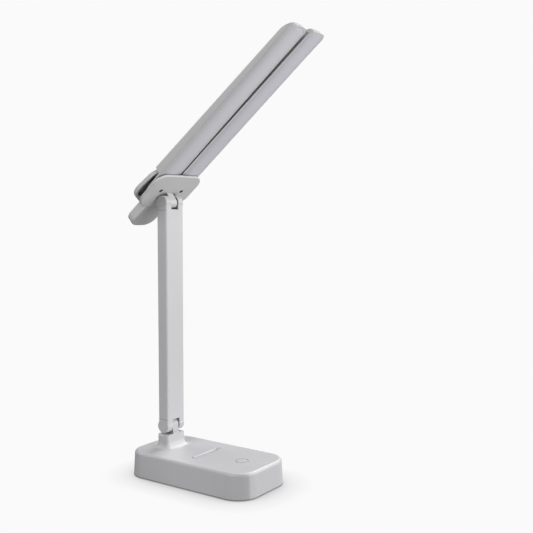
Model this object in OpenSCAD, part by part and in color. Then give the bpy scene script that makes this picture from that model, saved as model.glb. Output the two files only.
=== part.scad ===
// Folding desk lamp with two light bars, a straight arm and a phone-rest base
// Frame: origin under the middle of the base on the table, +X to the front, +Z up

/* [Base] */
// Length of the base, back to front
base_l = 147; // [140:1:170]
// Width of the base
base_w = 80; // [76:1:100]
// Height of the base top above the table
base_h = 25.6; // [25.2:0.2:34]
// Corner radius of the base in plan
base_corner_r = 22; // [18:1:26]
// How far the base wall leans in from foot to top
base_draft = 1.4; // [0.4:0.1:2.4]
// Radius of the rounded top edge
base_edge_r = 3.2; // [2:0.1:4]
// Wall thickness of the base housing
base_wall = 2.2; // [1.6:0.1:2.8]
// Thickness of the base top
base_top_t = 2.4; // [2:0.1:3]
// Gap between the table and the bottom edge of the base
base_lift = 0.8; // [0.5:0.1:1.2]
// Thickness of the bottom cover
cover_t = 2.4; // [2:0.1:3]
// Length of the rubber pad under the base
pad_l = 100; // [80:1:104]
// Width of the rubber pad
pad_w = 56; // [46:1:60]
// Thickness of the rubber pad
pad_t = 1.4; // [1.3:0.1:1.6]

/* [Phone slot and touch key] */
// Length of the phone slot
slot_l = 42; // [30:1:52]
// Width of the phone slot
slot_w = 5.6; // [5.4:0.1:7]
// Depth of the phone slot
slot_depth = 5.5; // [4.5:0.1:6]
// Lean of the phone slot from upright, in degrees
slot_lean = 12; // [5:1:14]
// Distance of the phone slot behind the front of the base
slot_inset = 74.5; // [70:0.5:76]
// Distance of the touch key behind the front of the base
touch_inset = 31; // [26:0.5:32]
// Diameter of the engraved touch ring
touch_d = 13; // [12:0.5:16]
// Width of the engraved line
touch_line = 0.7; // [0.5:0.1:1]
// Depth of the engraved line
touch_depth = 0.4; // [0.3:0.1:0.6]
// Diameter of the status light
lens_d = 1.8; // [1.4:0.1:2.4]
// Direction from the middle of the ring to the status light, in degrees
lens_turn = 255; // [200:5:270]

/* [Neck and hinges] */
// Distance of the lower hinge axis from the back of the base
neck_setback = 26.9; // [25:0.1:30]
// Depth of the neck ahead of the hinge axis
neck_front = 7; // [6.6:0.1:7.4]
// Depth of the neck behind the hinge axis
neck_back = 7; // [6.6:0.1:8]
// Width of the neck
neck_w = 26; // [24:0.2:28]
// Radius of the flare where the neck meets the base
neck_flare_r = 6.5; // [4:0.1:8]
// Radius of the upright corners of the neck
neck_corner_r = 2.2; // [1.4:0.1:3]
// Radius of the shoulder edges
shoulder_r = 2.4; // [1.4:0.1:3]
// Radius of the round hinge ears
ear_r = 7; // [6.8:0.1:7.6]
// Gap between an ear and the neck shoulder
ear_gap = 1.4; // [1:0.1:2]
// Radius of the rounded rim of an ear
ear_edge_r = 1.1; // [0.6:0.1:1.6]
// Width of the hinge tongues
tongue_w = 8.6; // [7.6:0.1:9]
// Radius of the hinge tongues
tongue_r = 6; // [5.4:0.1:6.2]
// Width of the arm slots that take the tongues
fork_w = 10.4; // [10.2:0.1:11]
// Gap between a tongue and the end of its slot
fork_gap = 0.6; // [0.5:0.1:1]
// Diameter of the hinge pins
pin_d = 4; // [3.4:0.1:4.4]
// Radial clearance of the pins in the tongues
pin_play = 0.05; // [0.03:0.01:0.09]
// Diameter of the pin heads
pin_head_d = 7.2; // [6.4:0.1:7.4]
// Thickness of the pin heads
pin_head_t = 1.6; // [1.2:0.1:1.8]
// Width across the flats of the hinge nuts
nut_af = 6.4; // [6:0.1:6.6]
// Thickness of the hinge nuts
nut_t = 2; // [1.6:0.1:2.2]
// Diameter of the hinge washers
washer_d = 10; // [8.4:0.1:10.6]
// Thickness of the caps over the hinge pins
cap_t = 1; // [0.8:0.1:1.2]

/* [Arm] */
// Distance between the lower and upper hinge axes
arm_pitch = 223.5; // [200:0.5:260]
// Width of the arm
arm_w = 25.4; // [25:0.1:28]
// Thickness of the arm
arm_t = 12.4; // [12:0.1:12.6]
// Distance of the arm's middle ahead of the hinge axes
arm_shift = 0.5; // [0.2:0.1:0.6]
// Wall thickness of the arm tube
arm_wall = 1.3; // [1:0.1:1.6]
// Corner radius of the arm tube
arm_edge_r = 1.6; // [1:0.1:2]
// Length of the plug of each arm end inside the tube
plug_l = 18; // [12:1:30]
// Diameter of the lead inside the arm
lead_d = 3; // [2:0.1:3.4]

/* [Head bracket] */
// Tilt of the light bars above level, in degrees
tilt = 39.8; // [0:0.5:80]
// Gap between the ears and the lower plate
plate_gap = 0.4; // [0.4:0.1:0.8]
// Thickness of the lower plate
low_plate_t = 2.4; // [2.2:0.1:3]
// Half width of the lower plate
plate_half_w = 33; // [32:0.1:38]
// Front edge of the lower plate ahead of the hinge axis
plate_front = 30; // [28:0.1:34]
// Back edge of the lower plate behind the hinge axis
plate_back = 14.5; // [13:0.1:18]
// Corner radius at the front of the lower plate
plate_front_r = 13; // [9:0.5:14]
// Corner radius at the back of the lower plate
plate_back_r = 16; // [12:0.5:18]
// Rounding of the lower plate's edges
plate_edge_r = 1; // [0.6:0.1:1.1]
// Thickness of the upper plate
top_plate_t = 4.7; // [4:0.1:5.4]
// Half width of the upper plate
top_half_w = 31.6; // [30:0.1:34]
// Front edge of the upper plate ahead of the hinge axis
top_front = 26; // [22:0.1:28]
// Back edge of the upper plate behind the hinge axis
top_back = 26; // [23:0.1:32]
// How much the upper plate narrows towards the front, on each side
top_taper = 2.6; // [0:0.1:4]
// Corner radius at the front of the upper plate
top_front_r = 11.5; // [8:0.5:13]
// Corner radius at the sides of the upper plate
top_side_r = 14.8; // [12:0.1:16]
// Length of the tail behind the hinge axis
tail_l = 46.5; // [40:0.5:56]
// Half width of the tail
tail_half_w = 16.4; // [13:0.1:19]
// Corner radius of the tail
tail_corner_r = 12; // [7:0.5:13]
// Step from the lower plate up to the tail
tail_step = 0.7; // [0.3:0.1:1.2]
// Rounding of the tail edges
tail_edge_r = 2.4; // [1.2:0.1:3]

/* [Light bars] */
// Width of one light bar
bar_w = 28.2; // [26:0.1:30]
// Thickness of one light bar just ahead of the upper plate
bar_t = 11.2; // [9:0.1:11.5]
// Thickness of one light bar at its tip
bar_tip_t = 7; // [6.6:0.1:9]
// Thickness of the bar's root between the plates
root_t = 5.2; // [4.8:0.1:6]
// Gap between the bar's root and the upper plate
root_gap = 1.6; // [0.4:0.1:2]
// Gap between the upper plate and the step on a bar as it swings past
step_gap = 0.5; // [0.4:0.1:1]
// Gap between the two light bars
bar_gap = 1.6; // [0.5:0.1:2]
// Pivot of the bars ahead of the hinge axis
bar_pivot = 8.8; // [8:0.1:12]
// Gap between the bars and the lower plate
bar_play = 0.3; // [0.2:0.05:0.5]
// Gap between the folded bars and the neck
fold_gap = 0.9; // [0.8:0.1:2]
// Gap between the folded head and the base top
stow_gap = 0.7; // [0.5:0.1:2]
// Corner radius of the bar tips
tip_r = 9; // [5:0.5:12]
// Rounding of the bar edges on the light side
bar_edge_r = 2.4; // [1:0.1:2.6]
// Rounding of the bar edges on the back
bar_back_r = 2.6; // [1.4:0.1:3]
// Width of the rim round the diffuser
rim_w = 4.6; // [2.6:0.1:5.4]
// Width of the ledge that the diffuser rests on
ledge_w = 1.4; // [1:0.1:1.8]
// Thickness of that ledge
ledge_t = 1.2; // [0.8:0.1:1.4]
// Thickness of the bar's side walls
bar_wall = 1.6; // [1.2:0.1:2]
// Depth of the diffuser below the rim
rim_depth = 0.4; // [0.3:0.1:0.8]
// Thickness of the diffuser
diffuser_t = 1.8; // [1.4:0.1:2]
// Thickness of the bar's back wall
bar_back_t = 1.4; // [1.1:0.1:1.8]
// Diameter of the pivot bosses
boss_d = 9; // [7:0.1:11]
// Diameter of the pivot screw heads
pivot_head_d = 4.2; // [3.6:0.1:5]
// Thickness of the pivot screw heads
pivot_head_t = 1.2; // [1:0.1:1.4]
// Diameter of the pivot screw shanks
pivot_shank_d = 2.2; // [1.8:0.1:2.6]
// Width of the light-emitting strips
strip_w = 16; // [10:0.5:18]
// Thickness of the strips
strip_t = 1.2; // [0.8:0.1:1.4]
// Distance of the end chips from the step and the tip of a bar
chip_inset = 10; // [8:0.5:16]
// Number of chips on one strip
chip_count = 24; // [12:1:28]

/* [Inside the base] */
// Diameter of the battery cell
cell_d = 18.2; // [14:0.1:18.4]
// Length of the battery cell
cell_l = 65; // [50:0.5:66]
// Distance of the cell behind the front of the base
cell_inset = 51.5; // [50.5:0.1:52]
// Wall of the cell holder
holder_wall = 1.2; // [1:0.1:1.4]
// Length of the steel weight
weight_l = 42; // [34:1:44]
// Width of the steel weight
weight_w = 62; // [44:1:64]
// Thickness of the steel weight
weight_t = 5.4; // [4:0.1:8]
// Distance of the weight's middle ahead of the back of the base
weight_inset = 41.5; // [40.5:0.5:43.5]
// Length of the control board
board_l = 28; // [24:0.5:29]
// Gap between the sides of the base and the control board
board_side = 20; // [19.5:0.5:25]
// Distance of the control board behind the front of the base
board_inset = 21.5; // [20.5:0.1:22]
// Height of the boards above the bottom cover
board_lift = 4; // [3:0.1:5]
// Thickness of the boards
board_t = 1.6; // [1.2:0.1:1.8]
// Distance of the screw posts from the front and back of the base
post_inset = 15.5; // [14.5:0.5:16.5]
// Distance of the screw posts from the sides of the base
post_side = 15; // [14:0.1:15.5]
// Diameter of the screw posts
post_d = 7; // [6:0.1:7.4]
// Diameter of the base screw heads
screw_head_d = 5.6; // [5:0.1:6]
// Thickness of the base screw heads
screw_head_t = 1.3; // [1:0.1:1.4]
// Diameter of the base screw shanks
screw_d = 2.6; // [2.2:0.1:3]
// Length of the base screw shanks
screw_l = 11; // [7:0.5:14]
// Width of the charging socket
socket_w = 7.6; // [7.4:0.1:8.6]
// Height of the charging socket
socket_h = 2.9; // [2.7:0.1:3.2]
// Length of the charging socket
socket_l = 5.6; // [5:0.1:6.4]
// Length of the charging board
charge_board_l = 11; // [8:0.5:14]
// Width of the charging board
charge_board_w = 18; // [14:0.5:20]
// Gap between the back wall and the charging board
charge_gap = 0.6; // [0.4:0.1:1]

/* [Hidden] */
$fn = 64;

// Overlap of a cut past the surface it opens
over = 1;
// Fit between parts that only rest in each other
seat = 0.1;
// Face clearance between sliding parts
skim = 0.05;

// Heights in the head, measured from the hinge axis towards the back of the bars
low_0 = ear_r + plate_gap;
low_1 = low_0 + low_plate_t;
bar_0 = low_1 + bar_play;
bar_1 = bar_0 + bar_t;
root_1 = bar_0 + root_t;
top_0 = root_1 + root_gap;
top_1 = top_0 + top_plate_t;

// Hinge axes: folded flat, the head fits between the arm and the base
hinge_x = neck_setback - base_l / 2;
hinge_z = base_h + max(top_1, bar_1) + stow_gap;
upper_z = hinge_z + arm_pitch;
shoulder_z = hinge_z - ear_r - ear_gap;
fork_end = tongue_r + fork_gap;
seam = max(fork_end, ear_r + 0.2);

// Light bars: folded flat, their tips stop short of the neck
bar_tip = arm_pitch - neck_front - fold_gap;
bar_y = (bar_w + bar_gap) / 2;
top_front_x = top_front - top_front_r;
top_front_y = top_half_w - top_taper - top_front_r;
sweep = max(norm([top_front_x - bar_pivot, top_front_y - bar_y]) + top_front_r, top_half_w - bar_y);
step_x = bar_pivot + sweep + step_gap;
taper = atan((bar_t - bar_tip_t) / (bar_tip - step_x));
spacer_front = bar_w / 2 + fold_gap - bar_pivot;
tail_front_r = 2 * tail_edge_r + 0.4;
light_start = bar_pivot + boss_d / 2 + 6;

// Inside the base, all set out from its front and back
slot_x = base_l / 2 - slot_inset;
touch_x = base_l / 2 - touch_inset;
cell_x = base_l / 2 - cell_inset;
board_x = base_l / 2 - board_inset;
board_w = base_w - 2 * board_side;
weight_x = weight_inset - base_l / 2;
post_x = base_l / 2 - post_inset;
post_y = base_w / 2 - post_side;
charge_x = base_wall + charge_gap - base_l / 2;
floor_z = base_lift + cover_t;
ceiling_z = base_h - base_top_t;
board_z = floor_z + board_lift;
counterbore_d = pin_head_d + 1;
counterbore = max(pin_head_t, nut_t + 0.2) + cap_t + 0.4;
washer_t = (fork_w - tongue_w) / 2 - 2 * skim;

body_grey = [0.80, 0.80, 0.81];
inner_grey = [0.72, 0.72, 0.73];
steel = [0.62, 0.63, 0.65];
rubber = [0.24, 0.24, 0.25];
milk = [0.86, 0.86, 0.89];
board_green = [0.16, 0.36, 0.24];

base_corners = corners(base_l / 2, base_w / 2, base_corner_r);
low_plate = [
    [plate_back_r - plate_back, -plate_half_w + plate_back_r, plate_back_r],
    [plate_front - plate_front_r, -plate_half_w + plate_front_r, plate_front_r],
    [plate_front - plate_front_r, plate_half_w - plate_front_r, plate_front_r],
    [plate_back_r - plate_back, plate_half_w - plate_back_r, plate_back_r]
];
top_plate = [
    [-1, -top_half_w + top_side_r, top_side_r],
    [top_front_x, -top_front_y, top_front_r],
    [top_front_x, top_front_y, top_front_r],
    [-1, top_half_w - top_side_r, top_side_r],
    [14 - top_back, 0, 14]
];
tail = [
    [tail_corner_r - tail_l, -tail_half_w + tail_corner_r, tail_corner_r],
    [-spacer_front - tail_front_r, -tail_half_w + tail_front_r, tail_front_r],
    [-spacer_front - tail_front_r, tail_half_w - tail_front_r, tail_front_r],
    [tail_corner_r - tail_l, tail_half_w - tail_corner_r, tail_corner_r]
];
bar_plan = [
    [bar_pivot, 0, bar_w / 2],
    [bar_tip - tip_r, -bar_w / 2 + tip_r, tip_r],
    [bar_tip - tip_r, bar_w / 2 - tip_r, tip_r]
];
hollow_plan = [
    [step_x + bar_wall + 3, -bar_w / 2 + bar_wall + 3, 3],
    [bar_tip - tip_r, -bar_w / 2 + tip_r, tip_r - bar_wall],
    [bar_tip - tip_r, bar_w / 2 - tip_r, tip_r - bar_wall],
    [step_x + bar_wall + 3, bar_w / 2 - bar_wall - 3, 3]
];
light_plan = [
    [light_start + tip_r, -bar_w / 2 + tip_r, tip_r],
    [bar_tip - tip_r, -bar_w / 2 + tip_r, tip_r],
    [bar_tip - tip_r, bar_w / 2 - tip_r, tip_r],
    [light_start + tip_r, bar_w / 2 - tip_r, tip_r]
];

// Four corner circles of a rectangle, anticlockwise from the back right
function corners(half_l, half_w, r) = [
    [-half_l + r, -half_w + r, r], [half_l - r, -half_w + r, r],
    [half_l - r, half_w - r, r], [-half_l + r, half_w - r, r]
];

// The same circles drawn in by d
function inset(plan, d) = [for (c = plan) [c[0], c[1], c[2] - d]];

// Ends of the outer tangent from circle a to circle b, on the right of the way between them
function tangent(a, b) =
    let(
        way = [b[0] - a[0], b[1] - a[1]],
        length = norm(way),
        along = way / length,
        k = (a[2] - b[2]) / length,
        out = along * k + [along[1], -along[0]] * sqrt(1 - k * k)
    )
    [[a[0], a[1]] + out * a[2], [b[0], b[1]] + out * b[2]];

function edge(plan, i) = tangent(plan[i], plan[(i + 1) % len(plan)]);

// Direction from circle i to the first point of the outline on it
function turn_start(plan, i) =
    let(way = edge(plan, (i + len(plan) - 1) % len(plan))[1] - [plan[i][0], plan[i][1]])
    atan2(way[1], way[0]);

// How far the outline turns round circle i
function turn_angle(plan, i) =
    let(way = edge(plan, i)[0] - [plan[i][0], plan[i][1]])
    (atan2(way[1], way[0]) - turn_start(plan, i) + 720) % 360;

// Smooth outline round a list of circles
module outline(plan) {
    for (c = plan) translate([c[0], c[1]]) circle(r = c[2]);
    polygon([for (i = [0:len(plan) - 1]) each edge(plan, i)]);
}

// Half section of a slab edge: x out from a corner's centre, y up
module edge_section(r, z0, z1, low_r, high_r, draft) {
    slope = draft / (z1 - z0);
    x0 = r - slope * low_r;
    x1 = r - slope * (z1 - z0 - high_r);
    polygon(concat(
        [[0, z0]],
        low_r > 0 ? [[x0 - low_r, z0], [x0, z0 + low_r]] : [[x0, z0]],
        high_r > 0 ? [[x1, z1 - high_r], [x1 - high_r, z1]] : [[x1, z1]],
        [[0, z1]]
    ));
    if (low_r > 0) translate([x0 - low_r, z0 + low_r]) circle(r = low_r);
    if (high_r > 0) translate([x1 - high_r, z1 - high_r]) circle(r = high_r);
}

// Slab over a plan of circles, with rounded lower and upper edges and a leaning wall
module slab(plan, z0, z1, low_r = 0, high_r = 0, draft = 0) {
    soft = max(low_r, high_r) + draft;
    band = soft + 0.4;
    if (soft == 0) {
        translate([0, 0, z0]) linear_extrude(z1 - z0) outline(plan);
    } else {
        translate([0, 0, z0]) linear_extrude(z1 - z0) outline(inset(plan, soft));
        for (i = [0:len(plan) - 1]) {
            from = turn_start(plan, i);
            translate([plan[i][0], plan[i][1], 0])
                rotate([0, 0, from])
                rotate_extrude(angle = turn_angle(plan, i))
                edge_section(plan[i][2], z0, z1, low_r, high_r, draft);
        }
        for (i = [0:len(plan) - 1]) {
            ends = edge(plan, i);
            way = ends[1] - ends[0];
            translate([ends[0][0], ends[0][1], 0])
                rotate([0, 0, atan2(way[1], way[0])])
                mirror([0, 1, 0])
                rotate([90, 0, 90])
                linear_extrude(norm(way))
                translate([-band, 0]) edge_section(band, z0, z1, low_r, high_r, draft);
        }
    }
}

// Cylinder along Y about the hinge axis, centred on y
module across(r, y0, y1) {
    translate([0, y0, 0]) rotate([-90, 0, 0]) cylinder(r = r, h = y1 - y0);
}

// Hinge tongue with its bore, its stem reaching along Z as far as reach
module tongue(reach) {
    rotate([90, 0, 0]) translate([0, 0, -tongue_w / 2]) linear_extrude(tongue_w) difference() {
        union() {
            circle(r = tongue_r);
            translate([-tongue_r, min(reach, 0)]) square([2 * tongue_r, abs(reach)]);
        }
        circle(r = pin_d / 2 + pin_play);
    }
}

module at_lower_hinge() {
    translate([hinge_x, 0, hinge_z]) children();
}

module at_upper_hinge() {
    translate([hinge_x, 0, upper_z]) children();
}

// Head frame: x along the bars, z towards their backs
module in_head() {
    at_upper_hinge() rotate([0, -tilt, 0]) children();
}

module at_posts() {
    for (x = [-post_x, post_x], y = [-post_y, post_y]) translate([x, y, 0]) children();
}

// Leaning phone slot, open at the base top
module phone_slot_cut() {
    run = tan(slot_lean) * slot_depth;
    rise = tan(slot_lean) * over;
    translate([slot_x, slot_l / 2, base_h]) rotate([90, 0, 0]) linear_extrude(slot_l)
        polygon([
            [-slot_w / 2 - rise, over], [slot_w / 2 - rise, over],
            [slot_w / 2 + run, -slot_depth], [-slot_w / 2 + run, -slot_depth]
        ]);
}

// Walls and floor of the slot inside the housing
module phone_slot_trough() {
    run = tan(slot_lean) * slot_depth;
    wall = base_wall;
    translate([slot_x - slot_w / 2 - wall, -slot_l / 2 - wall, base_h - slot_depth - wall])
        cube([slot_w + run + 2 * wall, slot_l + 2 * wall, slot_depth + wall - base_top_t / 2]);
}

// Neck seen from the front: shoulders, with a rounded root beside the tongue
module neck_front_shape() {
    root = 1.6;
    half = neck_w / 2;
    low = ceiling_z;
    translate([-half, low]) square([neck_w, shoulder_z - shoulder_r - low]);
    translate([-half + shoulder_r, low]) square([neck_w - 2 * shoulder_r, shoulder_z - low]);
    for (side = [-1, 1]) {
        translate([side * (half - shoulder_r), shoulder_z - shoulder_r]) circle(r = shoulder_r);
        difference() {
            translate([side * (tongue_w / 2 + root / 2), shoulder_z + root / 2])
                square([root + seat, root + seat], center = true);
            translate([side * (tongue_w / 2 + root), shoulder_z + root]) circle(r = root);
        }
    }
    translate([-tongue_w / 2, low]) square([tongue_w, shoulder_z + root - low]);
}

module neck() {
    mid_x = hinge_x + (neck_front - neck_back) / 2;
    depth = neck_front + neck_back;
    root = 1.6;
    intersection() {
        translate([mid_x, 0, 0])
            slab(corners(depth / 2, neck_w / 2, neck_corner_r), ceiling_z, shoulder_z + root);
        translate([mid_x - depth / 2 - over, 0, 0]) rotate([90, 0, 90])
            linear_extrude(depth + 2 * over) neck_front_shape();
    }
    translate([mid_x, 0, 0]) flare(depth, neck_w, neck_corner_r, neck_flare_r);
    at_lower_hinge() tongue(shoulder_z - hinge_z);
}

// Hollow curve where an upright column meets the base top
module flare(l, w, corner, r) {
    sink = base_top_t / 2;
    plan = corners(l / 2, w / 2, corner);
    for (c = plan) translate([c[0], c[1], base_h]) rotate_extrude() flare_section(corner, r, sink);
    for (i = [0:3]) {
        ends = edge(plan, i);
        way = ends[1] - ends[0];
        translate([ends[0][0], ends[0][1], base_h])
            rotate([0, 0, atan2(way[1], way[0])])
            mirror([0, 1, 0])
            rotate([90, 0, 90])
            linear_extrude(norm(way))
            translate([-corner, 0]) flare_section(corner, r, sink);
    }
}

module flare_section(corner, r, sink) {
    difference() {
        translate([0, -sink]) square([corner + r, r + sink]);
        translate([corner + r, r]) circle(r = r);
    }
}

module base_housing() color(body_grey) difference() {
    union() {
        difference() {
            slab(base_corners, base_lift, base_h, 0, base_edge_r, base_draft);
            slab(inset(base_corners, base_wall), base_lift - over, ceiling_z, 0, 0, 0);
        }
        intersection() {
            slab(base_corners, base_lift, base_h, 0, base_edge_r, base_draft);
            union() {
                phone_slot_trough();
                translate([0, 0, floor_z]) at_posts()
                    cylinder(d = post_d, h = ceiling_z - floor_z + over);
                translate([hinge_x - neck_back, -neck_w / 2, ceiling_z - base_wall])
                    cube([neck_front + neck_back, neck_w, base_wall + over]);
            }
        }
        neck();
    }
    phone_slot_cut();
    translate([0, 0, floor_z - over]) at_posts() cylinder(d = screw_d + seat, h = screw_l + over);
    translate([touch_x, 0, base_h - touch_depth]) difference() {
        cylinder(d = touch_d, h = touch_depth + over);
        translate([0, 0, -over]) cylinder(d = touch_d - 2 * touch_line, h = touch_depth + 3 * over);
    }
    at_lens() translate([0, 0, -over]) cylinder(d = lens_d + seat, h = base_top_t + 2 * over);
    charge_opening();
}

// Opening in the back wall for the charging plug, with a shallow recess round it
module charge_opening() {
    mid_z = board_z + board_t + socket_h / 2;
    back = -base_l / 2;
    translate([back - over, -socket_w / 2 - 0.5, mid_z - socket_h / 2 - 0.4])
        cube([base_wall + base_draft + 2 * over, socket_w + 1, socket_h + 0.8]);
    translate([back - over, -socket_w / 2 - 2, mid_z - socket_h / 2 - 2])
        cube([over + 0.9, socket_w + 4, socket_h + 4]);
}

module base_bottom_cover() color(inner_grey) difference() {
    union() {
        slab(inset(base_corners, base_wall + seat), base_lift, floor_z);
        for (x = [-1, 1], y = [-1, 1])
            translate([board_x + x * (board_l / 2 - 3), y * (board_w / 2 - 3), floor_z - seat])
                cylinder(d = 4, h = board_lift + seat);
        for (y = [-1, 1])
            translate([charge_x + charge_board_l - 3, y * charge_board_w / 3, floor_z - seat])
                cylinder(d = 3, h = board_lift + seat);
    }
    translate([0, 0, base_lift]) at_posts() {
        translate([0, 0, -over]) cylinder(d = screw_d + 4 * seat, h = cover_t + 2 * over);
        translate([0, 0, -over]) cylinder(d = screw_head_d + 4 * seat, h = screw_head_t + over + seat);
    }
    slab(corners(pad_l / 2 + seat, pad_w / 2 + seat, 12), base_lift - over, pad_t);
}

module anti_slip_pad() color(rubber) slab(corners(pad_l / 2, pad_w / 2, 12 - seat), 0, pad_t);

module base_screws() color(steel) translate([0, 0, base_lift + seat]) at_posts() difference() {
    union() {
        cylinder(d = screw_head_d, h = screw_head_t);
        cylinder(d = screw_d, h = screw_head_t + screw_l);
    }
    for (turn = [0, 90]) rotate([0, 0, turn]) cube([3, 0.7, 1.4], center = true);
}

module steel_weight() color(steel)
    translate([weight_x - weight_l / 2, -weight_w / 2, floor_z]) cube([weight_l, weight_w, weight_t]);

module battery_holder() color(rubber) difference() {
    w = cell_d + 2 * holder_wall;
    l = cell_l + 2 * holder_wall + 2 * seat;
    translate([cell_x - w / 2, -l / 2, floor_z]) cube([w, l, cell_d * 0.6]);
    translate([cell_x, 0, floor_z + holder_wall + cell_d / 2]) {
        across(cell_d / 2 + seat, -cell_l / 2 - seat, cell_l / 2 + seat);
        translate([-cell_d / 2 - seat, -cell_l / 2 - seat, 0])
            cube([cell_d + 2 * seat, cell_l + 2 * seat, cell_d]);
    }
}

module battery_cell() color("royalblue") translate([cell_x, 0, floor_z + holder_wall + cell_d / 2]) {
    across(cell_d / 2, -cell_l / 2, cell_l / 2 - 1.2);
    across(3, cell_l / 2 - 1.3, cell_l / 2);
}

module control_board() color(board_green)
    translate([board_x - board_l / 2, -board_w / 2, board_z]) cube([board_l, board_w, board_t]);

module board_components() color("dimgray") translate([board_x, 0, board_z + board_t]) {
    translate([-9, -14, 0]) cube([7, 7, 3.2]);
    translate([-3, -3, 0]) cube([5, 4.4, 1.2]);
    translate([5, -15, 0]) cube([4, 5, 1.4]);
    translate([6, 8, 0]) cylinder(d = 5, h = 5.4);
    translate([-8, 10, 0]) cylinder(d = 4, h = 5);
    translate([4, -2, 0]) cube([3, 1.6, 0.8]);
}

module touch_pad() color("peru") translate([touch_x, 0, ceiling_z - 0.6])
    cylinder(d = touch_d - lens_d - 3, h = 0.6);

// On the touch ring, at the underside of the base top
module at_lens() {
    translate([touch_x, 0, ceiling_z]) rotate([0, 0, lens_turn]) translate([(touch_d - touch_line) / 2, 0, 0])
        children();
}

module status_lens() color("white") at_lens() {
    translate([0, 0, -0.5]) cylinder(d = lens_d + 1, h = 0.5);
    translate([0, 0, -0.5]) cylinder(d = lens_d, h = 0.5 + base_top_t);
}

module charge_board() color(board_green)
    translate([charge_x, -charge_board_w / 2, board_z]) cube([charge_board_l, charge_board_w, board_t]);

// Flanged section of the charging socket
module socket_section(wall) {
    half = socket_w / 2 - wall;
    low = -socket_h / 2 + wall;
    polygon([
        [-half + 1.1, low], [half - 1.1, low], [half, low + 1.1],
        [half, -low], [-half, -low], [-half, low + 1.1]
    ]);
}

module charge_socket() color(steel)
    translate([charge_x, 0, board_z + board_t + socket_h / 2])
    rotate([90, 0, 90]) {
        difference() {
            linear_extrude(socket_l) socket_section(0);
            translate([0, 0, -over]) linear_extrude(socket_l - 0.6 + over) socket_section(0.4);
        }
        translate([-socket_w / 2 + 1.6, -0.3, 0.5]) cube([socket_w - 3.2, 0.6, socket_l - 0.6]);
    }

// Arm section, centred on the tube
module arm_section(d = 0) {
    outline(corners(arm_t / 2 - d, arm_w / 2 - d, arm_edge_r));
}

module arm_tube() color(body_grey) translate([hinge_x + arm_shift, 0, hinge_z + seam])
    linear_extrude(arm_pitch - 2 * seam) difference() {
        arm_section();
        arm_section(arm_wall);
    }

// End piece of the arm, with the hinge axis at the origin and the tube above it
module arm_fork() difference() {
    union() {
        difference() {
            translate([arm_shift, 0, 0]) linear_extrude(seam) arm_section();
            translate([-arm_t, -fork_w / 2, -over]) cube([2 * arm_t, fork_w, fork_end + over]);
        }
        for (side = [-1, 1]) rotate([side * -90, 0, 0]) translate([0, 0, fork_w / 2])
            rotate_extrude() ear_half_section();
        translate([arm_shift, 0, seam - over]) linear_extrude(plug_l + over) arm_section(arm_wall + seat);
    }
    across(pin_d / 2 + pin_play, -arm_w, arm_w);
    for (side = [-1, 1]) rotate([side * -90, 0, 0])
        translate([0, 0, arm_w / 2 - counterbore]) cylinder(d = counterbore_d, h = counterbore + over);
    translate([arm_shift, 0, fork_end - over]) cylinder(d = lead_d + 6 * seat, h = seam + plug_l + over);
}

// Half section of one ear: x out from the hinge axis, y outwards along it
module ear_half_section() {
    depth = (arm_w - fork_w) / 2;
    square([ear_r, depth - ear_edge_r]);
    square([ear_r - ear_edge_r, depth]);
    translate([ear_r - ear_edge_r, depth - ear_edge_r]) circle(r = ear_edge_r);
}

module arm_lower_fork() color(body_grey) at_lower_hinge() arm_fork();

module arm_upper_fork() color(body_grey) at_upper_hinge()
    mirror([0, 0, 1]) arm_fork();

module arm_lead() color(rubber) translate([hinge_x + arm_shift, 0, hinge_z + fork_end + seat])
    cylinder(d = lead_d, h = arm_pitch - 2 * fork_end - 2 * seat);

// Pin through both ears, its head on the left
module hinge_pin() {
    left = arm_w / 2 - counterbore;
    across(pin_d / 2, -left, arm_w / 2 - counterbore + nut_t + 0.2);
    across(pin_head_d / 2, -left - pin_head_t, -left);
}

module hinge_nut() difference() {
    right = arm_w / 2 - counterbore;
    translate([0, right, 0]) rotate([-90, 0, 0]) cylinder(d = nut_af / cos(30), h = nut_t, $fn = 6);
    across(pin_d / 2 + skim, right - over, right + nut_t + over);
}

module hinge_washers() for (side = [-1, 1]) rotate([side * -90, 0, 0]) difference() {
    translate([0, 0, tongue_w / 2 + skim]) cylinder(d = washer_d, h = washer_t);
    translate([0, 0, 0]) cylinder(d = pin_d + 4 * skim, h = arm_w);
}

module hinge_caps() for (side = [-1, 1]) rotate([side * -90, 0, 0])
    translate([0, 0, arm_w / 2 - cap_t]) cylinder(d = counterbore_d - 2 * skim, h = cap_t);

module lower_hinge_pin() color(steel) at_lower_hinge() hinge_pin();
module lower_hinge_nut() color(steel) at_lower_hinge() hinge_nut();
module lower_hinge_washers() color(rubber) at_lower_hinge() hinge_washers();
module lower_hinge_caps() color(body_grey) at_lower_hinge() hinge_caps();
module upper_hinge_pin() color(steel) at_upper_hinge() hinge_pin();
module upper_hinge_nut() color(steel) at_upper_hinge() hinge_nut();
module upper_hinge_washers() color(rubber) at_upper_hinge() hinge_washers();
module upper_hinge_caps() color(body_grey) at_upper_hinge() hinge_caps();

module at_pivots() {
    for (side = [-1, 1]) translate([bar_pivot, side * bar_y, 0]) children();
}

// Lower plate with the hinge tongue and the tail that spaces the two plates
module bracket_lower_plate() color(body_grey) in_head() difference() {
    union() {
        slab(low_plate, low_0, low_1, plate_edge_r, 0.4);
        slab(tail, low_0 + tail_step, top_0, tail_edge_r);
        tongue(low_0 + low_plate_t / 2);
    }
    at_pivots() {
        translate([0, 0, low_0 - over]) cylinder(d = pivot_head_d + 2 * seat, h = over + 2 * low_plate_t / 3);
        translate([0, 0, low_0 - over]) cylinder(d = pivot_shank_d + 2 * seat, h = low_plate_t + 2 * over);
    }
    translate([-tail_l / 2 - 4, 0, top_0 - 4]) cylinder(d = 4 + 2 * seat, h = 4 + over);
}

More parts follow.
